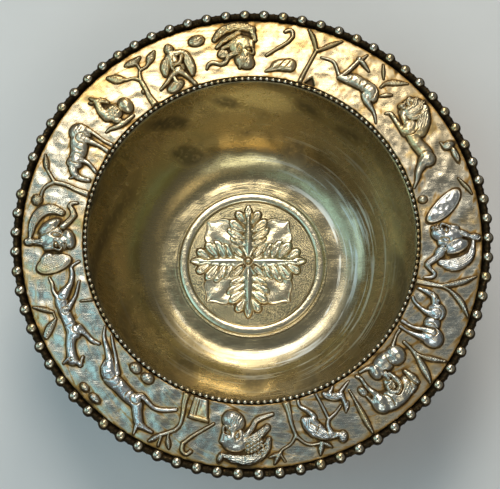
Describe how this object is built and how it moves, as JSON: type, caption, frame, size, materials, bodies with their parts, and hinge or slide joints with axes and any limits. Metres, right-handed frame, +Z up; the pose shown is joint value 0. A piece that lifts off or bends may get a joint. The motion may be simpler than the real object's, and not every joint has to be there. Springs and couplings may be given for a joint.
{
  "type": "relief bowl",
  "caption": "Deep round silver bowl on a ring foot, with a broad flat flange in relief, beaded edges and a rosette in its floor.",
  "frame": {"origin": "centre of the foot ring's underside, on the table", "axes": "+Z up along the bowl's axis, +Y towards the top mask, +X towards the right mask"},
  "size_m": [0.268, 0.268, 0.084],
  "materials": {
    "bowl": "aged silver, warm and smooth",
    "foot": "aged silver, satin",
    "flange": "aged silver, hammered and polished",
    "beads": "aged silver, polished beads with dark valleys",
    "medallion": "aged silver, warm, stippled and chased",
    "relief": "aged silver, polished relief with dark recesses"
  },
  "bodies": {
    "root": {"bowl_body": "bowl", "foot_ring": "foot", "flange_plate": "flange", "outer_bead_rim": "beads", "inner_bead_ring": "beads", "medallion_ring": "medallion", "acanthus_leaf_1": "medallion", "plain_leaf_1": "medallion", "acanthus_leaf_2": "medallion", "plain_leaf_2": "medallion", "acanthus_leaf_3": "medallion", "plain_leaf_3": "medallion", "acanthus_leaf_4": "medallion", "plain_leaf_4": "medallion", "rosette_boss": "medallion", "mask_top": "relief", "mask_right": "relief", "mask_bottom": "relief", "mask_left": "relief", "crook_top": "relief", "rock_top": "relief", "tree_top": "relief", "hind": "relief", "plume": "relief", "leaf_long": "relief", "leaf_drop": "relief", "lion": "relief", "bush": "relief", "leaf_right": "relief", "tambourine_right": "relief", "ball_right": "relief", "plant_a": "relief", "plant_b": "relief", "bear": "relief", "ram": "relief", "leaf_ram": "relief", "cypress": "relief", "kid": "relief", "goatherd": "relief", "tree_bottom": "relief", "crook_bottom": "relief", "altar": "relief", "tree_low": "relief", "panther": "relief", "rock_low_1": "relief", "rock_low_2": "relief", "fruit_1": "relief", "fruit_2": "relief", "hound": "relief", "rays": "relief", "reed": "relief", "tambourine_left": "relief", "tree_left": "relief", "horse": "relief", "goat": "relief", "tree_shepherd": "relief", "shepherd": "relief", "bun": "relief"}
  },
  "joints": []
}
